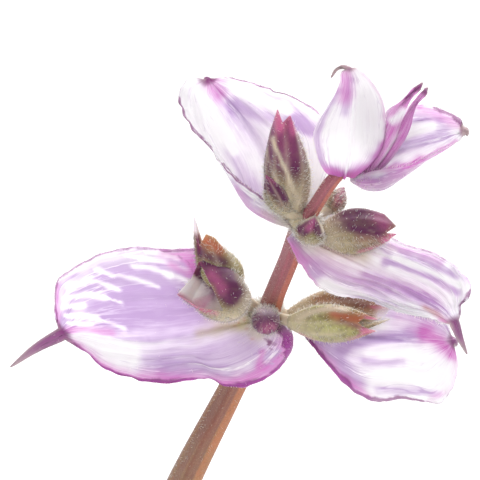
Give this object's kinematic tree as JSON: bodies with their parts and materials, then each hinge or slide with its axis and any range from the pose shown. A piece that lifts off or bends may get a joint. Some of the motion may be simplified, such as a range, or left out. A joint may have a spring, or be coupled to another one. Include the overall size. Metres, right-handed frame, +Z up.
{
  "type": "potted clary sage",
  "caption": "Upright flowering herb with papery lilac bracts in opposite pairs, ribbed calyces and a rosette of large wrinkled leaves, growing in a tapered clay pot.",
  "frame": {"origin": "middle of the pot's foot, on the surface it stands on", "axes": "+Z up the plant; -Y towards the viewer of the pictured spike tip, +X to that viewer's right"},
  "size_m": [0.231, 0.2272, 0.4045],
  "materials": {
    "clay": "unglazed fired clay, matt, slightly chalky",
    "soil": "damp crumbly potting compost",
    "stem": "hairy square stem, mauve brown above and green brown below",
    "leaf": "felted grey green, wrinkled between the veins",
    "papery_bract": "thin papery lilac and white with purple edges and light veins",
    "green_bract": "thin papery green flushed with mauve",
    "calyx": "hairy ribbed olive green flushed purple, with pink teeth",
    "young_bract": "folded young bractlets, bright pink"
  },
  "bodies": {
    "root": {"bract_branch_a1": "green_bract", "bract_branch_a2": "green_bract", "bract_branch_b1": "papery_bract", "bract_branch_b2": "papery_bract", "bract_c1": "papery_bract", "bract_c2": "papery_bract", "bract_d1": "papery_bract", "bract_d2": "papery_bract", "bract_low_left": "papery_bract", "bract_low_right": "papery_bract", "bract_mid_left": "papery_bract", "bract_mid_right": "papery_bract", "bract_top_far": "papery_bract", "bract_top_near": "papery_bract", "bractlets_tip": "young_bract", "bracts_branch1_whorl1": "papery_bract", "bracts_branch1_whorl2": "papery_bract", "bracts_branch2_whorl1": "papery_bract", "bracts_branch2_whorl2": "papery_bract", "calyces_branch1_whorl1": "calyx", "calyces_branch1_whorl2": "calyx", "calyces_branch2_whorl1": "calyx", "calyces_branch2_whorl2": "calyx", "calyces_c": "calyx", "calyces_d": "calyx", "calyces_low": "calyx", "calyces_mid": "calyx", "leaf_base_1": "leaf", "leaf_base_2": "leaf", "leaf_base_3": "leaf", "leaf_base_4": "leaf", "leaf_base_5": "leaf", "leaf_base_6": "leaf", "leaf_base_7": "leaf", "leaf_base_8": "leaf", "leaf_stem_1": "leaf", "leaf_stem_2": "leaf", "leaf_stem_3": "leaf", "leaf_stem_4": "leaf", "pot": "clay", "soil": "soil", "stem": "stem", "top_branch1": "papery_bract", "top_branch2": "papery_bract", "top_branch3": "papery_bract", "top_branch4": "papery_bract"}
  },
  "joints": []
}
